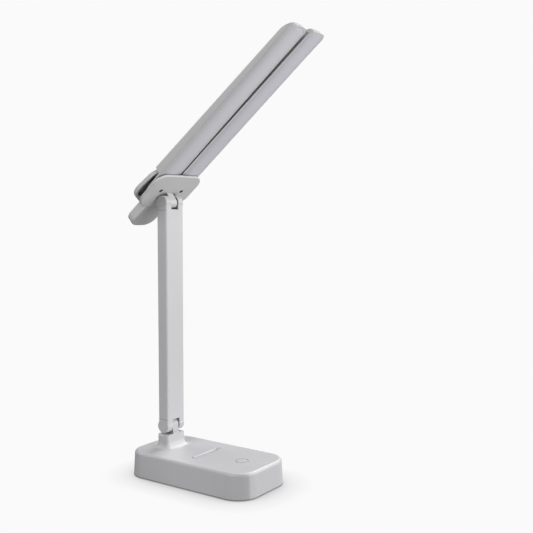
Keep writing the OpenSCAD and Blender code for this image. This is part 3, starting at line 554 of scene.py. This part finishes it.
def bar_shell(name, mirror):
    """A bar's shell: rounded edges, the back with a hub round the bore, and the opening with its trough."""
    weld = Weld()
    turns = [math.radians(90 * k / round_steps) for k in range(round_steps + 1)]
    face_edge = weld.loop(edge_points(face_edge_r, turns[0]))
    edge = weld.lay(face_edge, *(edge_points(face_edge_r, turn) for turn in turns[1:]))
    edge = weld.lay(edge, *(edge_points(back_edge_r, turn, from_back=True) for turn in reversed(turns)))
    # The back has rows from side to side as far as the hub.
    root_count, hub_count = root_steps + 1, along_bar.index(hub_end_x) + 1
    left = edge[root_count + hub_count - 1:root_count + len(along_bar) + tip_steps + 1]
    right = [edge[-hub_count - k] for k in range(len(left))]
    rows = weld.rows_across(left, right, back_rows)
    root = edge[:root_count + hub_count] + [row[0] for row in rows[1:-1]] + edge[-hub_count:]
    hub_foot = weld.loop([(x, y, back_at(x)) for x, y in circle(0, hub_foot_r)])
    weld.fill(root, hub_foot)
    bore_foot = [(x, y, face_at(x, y)) for x, y in circle(0, bore_r)]
    bore_low = weld.lay(hub_foot, ring(0, hub_top_r, hub_z), ring(0, bore_r, hub_z), bore_foot)
    # The light side has a rim round the opening, the seat and the ledge for the cover, and the trough.
    rim = weld.loop(face_points(opening_plan(rim_w)))
    weld.fill(face_edge, rim, bore_low)
    seat, ledge = opening_plan(rim_w + cover_play), opening_plan(rim_w + ledge_w)
    trough = [(x, narrowed(x, y)) for x, y in opening_plan(trough_wall, step_x - trough_before_step)]
    trough_floor = weld.lay(
        rim, face_points(seat, seat_bevel), face_points(seat, cover_depth), face_points(ledge, cover_depth),
        face_points(ledge, ledge_depth), [(x, y, light_z + trough_low) for x, y in trough],
        [(x, y, back_at(max(x, step_x + back_past_step)) - trough_back) for x, y in trough])
    weld.fill(trough_floor)
    return weld.piece(name, bar_place(mirror), mirror)


def bar_cover(name, mirror):
    """Milky cover: a crowned panel with a fine rounded edge, seated in the opening."""
    weld = Weld()
    seat_w = rim_w + cover_play
    underside = weld.loop(face_points(opening_plan(seat_w + cover_inset), cover_thickness))
    edge = weld.lay(
        underside, *(face_points(opening_plan(seat_w + inset), depth) for inset, depth in cover_edge))
    root_middle, half_count = root_steps // 2, len(edge) // 2
    left, right = (
        [edge[(root_middle + way * k) % len(edge)] for k in range(half_count + 1)] for way in (1, -1))
    weld.rows_across(left, right, cover_rows, lambda x, y: face_at(x, y) + cover_sink)
    weld.fill(underside)
    return weld.piece(name, bar_place(mirror), mirror)


# Painted light and shade on the bars: the walls beside the gap between the bars and the walls that face the
# tip are darker as painted shade, and faces turned to the light side are lighter as painted light. The
# covers are darker towards their long edges as painted shade and lighter towards the tip as painted light.
gap_reach, gap_facing, gap_blend = 4 * mm, 0.55, 0.25
rim_facing, rim_blend = 0.9, 0.1
pivot_along = head_axis[0] * tilt_x + head_axis[2] * tilt_z
bar_shade = PlaceShade("place_on_bar", "Gap Shade", "Tip Shade", "Edge Shade", "Tip Gain", "Rim Gain")
off_middle = bar_shade.off_middle(bar_shade.at)
gap_painted_shade = bar_shade.product(
    bar_shade.work("LESS_THAN", off_middle, gap_reach),
    bar_shade.part(bar_shade.off_middle(bar_shade.facing), gap_facing, gap_blend))
tip_painted_shade = bar_shade.work("MAXIMUM", bar_shade.along(bar_shade.facing, tilt_x, tilt_z), 0)
rim_painted_light = bar_shade.part(bar_shade.along(bar_shade.facing, tilt_z, -tilt_x), rim_facing, rim_blend)
from_axis = bar_shade.work("SUBTRACT", bar_shade.along(bar_shade.at, tilt_x, tilt_z), pivot_along)
tip_share = bar_shade.work("DIVIDE", from_axis, bar_tip * mm)
off_bar_middle = bar_shade.work("SUBTRACT", off_middle, bar_middle * mm)
edge_share = bar_shade.work("DIVIDE", off_bar_middle, bar_half * mm)
edge_part = bar_shade.work("MINIMUM", bar_shade.product(edge_share, edge_share), 1)
bar_shade.finish(
    bar_shade.loss(gap_painted_shade, "Gap Shade"), bar_shade.loss(tip_painted_shade, "Tip Shade"),
    bar_shade.gain(rim_painted_light, "Rim Gain"), bar_shade.loss(edge_part, "Edge Shade"),
    bar_shade.gain(tip_share, "Tip Gain"))
bar_grey = bar_shade.on(
    moulded("bar_grey_abs", (0.61, 0.61, 0.62), (0.59, 0.59, 0.6), roughness=0.6, gloss=0.18, reach=0.012),
    Gap_Shade=0.5, Tip_Shade=0.45, Rim_Gain=0.12)


# A milky cover, darker towards its long edges as painted shade and lighter towards the tip as painted light.
def milky(name, colour, deep):
    cover_plastic = moulded(name, colour, deep, roughness=0.32, handling=0.04)
    return bar_shade.on(cover_plastic, Edge_Shade=0.2, Tip_Gain=0.16)


# The two covers are one plastic; the left one is given a lighter colour than the right one as painted light.
covers_with_painted_light = {
    "left": milky("milky_cover_left", (0.63, 0.63, 0.668), (0.61, 0.61, 0.648)),
    "right": milky("milky_cover_right", (0.6, 0.6, 0.65), (0.58, 0.58, 0.63))}
for side, mirror in (("left", False), ("right", True)):
    shell = bar_shell(f"{side}_bar_shell", mirror)
    shell.data.materials.append(bar_grey)
    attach(shell, f"{side}_bar")
    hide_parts(f"{side}_bar_housing")
    cover = bar_cover(f"{side}_bar_cover", mirror)
    cover.data.materials.append(covers_with_painted_light[side])
    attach(cover, f"{side}_bar")
    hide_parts(f"{side}_bar_diffuser")

# Head bracket: two moulded ABS plates that the bars turn between. The upper one is a shallow tray with a
# rim, two seats for the washers and two bosses for the pivot screws. The lower one carries the hinge tongue
# and the tail.
plate_circles = [(-1, 16.8, 14.8), (-1, -16.8, 14.8), (14.5, 17.5, 11.5), (14.5, -17.5, 11.5), (-12, 0, 14)]
plate_steps = 180
plate_low, plate_top, plate_edge_r, plate_edge_steps = 16.9, 21.6, 1.3, 6
plate_foot = ((0.35, 0), (0.1, 0.1), (0, 0.35))
tray_rim, tray_depth, tray_draft, tail_land_x = 2.4, 2.7, 0.15, -9.5
boss_end, boss_r, boss_bevel, seat_r, thread_r = 9.85, 4.5, 0.3, 7.6, 1.25
boss_profile = (
    (seat_r, plate_low), (boss_r, plate_low), (boss_r, boss_end + boss_bevel),
    (boss_r - boss_bevel, boss_end), (thread_r, boss_end), (thread_r, plate_low))
bracket_grey = moulded("bracket_grey_abs", (0.595, 0.595, 0.605), (0.565, 0.565, 0.575), reach=0.012)


def plate_loop(inset, z, land_x=-math.inf):
    """Outline of the upper plate at a height: the inset hull of its corner circles, cut off at the land."""
    points = []
    for k in range(plate_steps):
        turn = 2 * math.pi * k / plate_steps
        x, y, r = max(plate_circles, key=lambda c: c[0] * math.cos(turn) + c[1] * math.sin(turn) + c[2])
        points.append((max(x + (r - inset) * math.cos(turn), land_x), y + (r - inset) * math.sin(turn), z))
    return points


weld = Weld()
edge_turns = [math.radians(90 * k / plate_edge_steps) for k in range(plate_edge_steps + 1)]
outside = [plate_loop(inset, plate_low + rise) for inset, rise in plate_foot]
outside += [plate_loop(plate_edge_r * (1 - math.cos(turn)), plate_top - plate_edge_r * (1 - math.sin(turn)))
            for turn in edge_turns]
foot = weld.loop(outside[0])
weld.fill(weld.lay(foot, *outside[1:]))
rim_inner = weld.loop(plate_loop(tray_rim, plate_low, tail_land_x))
weld.fill(foot, rim_inner)
tray_top = weld.lay(
    rim_inner, plate_loop(tray_rim + tray_draft, plate_low + tray_depth, tail_land_x + tray_draft))
seats = []
for seat_y in (-bar_middle, bar_middle):
    seat = weld.loop(ring(seat_y, seat_r, plate_low + tray_depth))
    weld.fill(weld.lay(seat, *(ring(seat_y, r, z) for r, z in boss_profile)))
    seats.append(seat)
weld.fill(tray_top, *seats)
tray = weld.piece("upper_plate_tray", in_head)
tray.data.materials.append(bracket_grey)
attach(tray, "head_bracket")
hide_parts("bracket_upper_plate")

tail_front, tail_blend = -0.0145, 0.0015
wall_start, wall_blend = 0.36, 0.08
# Painted light and shade on the tail of the lower plate: its side walls are lighter as painted light, most
# where they round over towards the underside, and its underside is darker as painted shade.
tail_shade = PlaceShade("place_on_tail", "Wall Gain", "Edge Gain", "Under Shade")
on_tail = tail_shade.part(
    tail_shade.along(tail_shade.at, tilt_x, tilt_z), pivot_along + tail_front, -tail_blend)
off_plate = tail_shade.along(tail_shade.facing, -tilt_z, tilt_x)
level_share = tail_shade.work("SUBTRACT", 1, tail_shade.product(off_plate, off_plate))
wall_share = tail_shade.work("SQRT", tail_shade.work("MAXIMUM", level_share, 0))
tail_wall = tail_shade.part(wall_share, wall_start, wall_blend)
edge_painted_light = tail_shade.product(tail_shade.work("SUBTRACT", 1, wall_share), tail_shade.takes["Edge Gain"])
wall_painted_light = tail_shade.product(tail_wall, tail_shade.work("ADD", edge_painted_light, tail_shade.takes["Wall Gain"]))
under_painted_shade = tail_shade.product(tail_shade.work("SUBTRACT", 1, tail_wall), tail_shade.takes["Under Shade"])
tail_painted_change = tail_shade.work("SUBTRACT", wall_painted_light, under_painted_shade)
tail_shade.finish(tail_shade.work("MULTIPLY_ADD", tail_painted_change, on_tail, 1))
lower_plate_grey = tail_shade.on(
    moulded("lower_plate_grey_abs", (0.595, 0.595, 0.6), (0.565, 0.565, 0.57), reach=0.012),
    Wall_Gain=0.08, Edge_Gain=0.5, Under_Shade=0.15)
finish_node("bracket_lower_plate", lower_plate_grey)

# Screws, pins, nuts and washers: turned or cold-headed steel. The pivot screws are blackened, and the hinge
# pins, nuts and base screws are zinc plated. The hinge washers are spring steel, the bars' dark waxy acetal.
metal, metal_in, metal_out = new_group(
    "machined_metal", ("Colour", "Stain Colour", "Roughness", "Tool Marks"),
    ("Colour", "Roughness", "Height"))
metal_place = add(metal, "ShaderNodeTexCoord")
cloud = add(metal, "ShaderNodeTexNoise", Scale=240.0, Detail=5.0)
fine_marks = add(metal, "ShaderNodeTexNoise", Scale=1500.0, Detail=2.0)
for texture in (cloud, fine_marks):
    wire(metal, (metal_place.outputs["Object"], texture.inputs["Vector"]))
marks, mark_roughness = fine_marks.outputs["Fac"], 0.25
stained = mixed(metal, cloud.outputs["Fac"], metal_in["Colour"], metal_in["Stain Colour"])
marked = worked_out(metal, "MULTIPLY_ADD", marks, mark_roughness, metal_in["Roughness"])
mark_height = worked_out(metal, "MULTIPLY", marks, metal_in["Tool Marks"])
wire(metal, (stained, metal_out["Colour"]), (marked, metal_out["Roughness"]),
     (mark_height, metal_out["Height"]))
metal_relief, metal_relief_depth = 0.2, 0.0001


def machined(name, colour, stain, roughness=0.22, tool_marks=0.6, metallic=1.0):
    """Bare or plated metal with its faint stains, and the fine marks that the tool or the plating leaves."""
    material, shader = surfaced(
        name, metal, metal_relief, metal_relief_depth, Colour=(*colour, 1), Stain_Colour=(*stain, 1),
        Roughness=roughness, Tool_Marks=tool_marks)
    shader.inputs["Metallic"].default_value = metallic
    return material


zinc = machined("zinc_plated_steel", (0.72, 0.73, 0.75), (0.58, 0.6, 0.63))
blackened = machined(
    "blackened_steel", (0.03, 0.03, 0.033), (0.055, 0.052, 0.05), roughness=0.35, metallic=0.4)
spring_steel = machined("spring_steel", (0.5, 0.5, 0.5), (0.34, 0.33, 0.32), roughness=0.3)
for name in ("lower_hinge_pin", "lower_hinge_nut", "upper_hinge_pin", "upper_hinge_nut", "base_screws"):
    finish_node(name, zinc)
for name in ("lower_hinge_washers", "upper_hinge_washers"):
    finish_node(name, spring_steel)
finish_node("bar_pivot_screws", blackened)
finish_node("bar_washers", moulded(
    "waxy_acetal", (0.2, 0.2, 0.21), (0.17, 0.17, 0.18), roughness=0.3, handling=0.1))

# Underside: a darker moulded cover closes the shell from below, and a soft rubber pad with a matt, slightly
# mottled face is pressed into it for the grip on the table.
finish_node("base_bottom_cover", moulded(
    "cover_grey_abs", (0.43, 0.43, 0.44), (0.4, 0.4, 0.41), roughness=0.5))
finish_node("anti_slip_pad", moulded(
    "grey_rubber", (0.075, 0.075, 0.078), (0.055, 0.055, 0.058), roughness=0.78, handling=0.16,
    grain_scale=900, relief=0.35, gloss=0.25))

# Inside the base: a sheared steel plate for weight, a cradle with its round cell in shrink sleeve, two green
# boards with their parts, the copper touch pad behind the ring, and the small light pipe beside it.
solder_mask = moulded(
    "solder_mask", (0.02, 0.16, 0.06), (0.012, 0.11, 0.04), roughness=0.28, handling=0.1, grain_scale=1400,
    relief=0.12)
for name in ("control_board", "charge_board"):
    finish_node(name, solder_mask)
finish_node("steel_weight", machined(
    "rolled_steel", (0.4, 0.4, 0.41), (0.24, 0.22, 0.21), roughness=0.38, tool_marks=1.0))
finish_node("battery_holder", moulded(
    "black_abs", (0.025, 0.025, 0.027), (0.018, 0.018, 0.02), roughness=0.5))
finish_node("battery_cell", moulded(
    "shrink_sleeve", (0.05, 0.19, 0.42), (0.04, 0.15, 0.36), roughness=0.25, handling=0.12, grain_scale=400,
    relief=0.1))
finish_node("board_components", moulded(
    "moulded_epoxy", (0.03, 0.03, 0.032), (0.05, 0.048, 0.046), roughness=0.55, grain_scale=3000,
    relief=0.15))
finish_node("touch_pad", machined("copper_foil", (0.84, 0.42, 0.26), (0.66, 0.3, 0.18), roughness=0.25))
finish_node("charge_socket", machined(
    "nickel_plated_steel", (0.7, 0.68, 0.64), (0.6, 0.58, 0.54), roughness=0.2))
finish_node("status_lens", moulded(
    "light_pipe", (0.2, 0.2, 0.21), (0.17, 0.17, 0.18), roughness=0.12, relief=0.02))

# Inside the arm and the bars: a black lead with a smooth PVC jacket, white-faced aluminium strips, and rows
# of chips with their yellow phosphor under clear silicone.
finish_node("arm_lead", moulded(
    "black_pvc", (0.02, 0.02, 0.021), (0.03, 0.03, 0.031), roughness=0.4, handling=0.12, grain_scale=700,
    relief=0.15))
strip_white = moulded("white_strip_mask", (0.8, 0.8, 0.79), (0.76, 0.76, 0.74), roughness=0.35)
phosphor = moulded(
    "phosphor_gel", (0.85, 0.68, 0.16), (0.8, 0.6, 0.1), roughness=0.18, grain_scale=4000, relief=0.1)
for side in ("left", "right"):
    finish_node(f"{side}_bar_strip", strip_white)
    finish_node(f"{side}_bar_chips", phosphor)
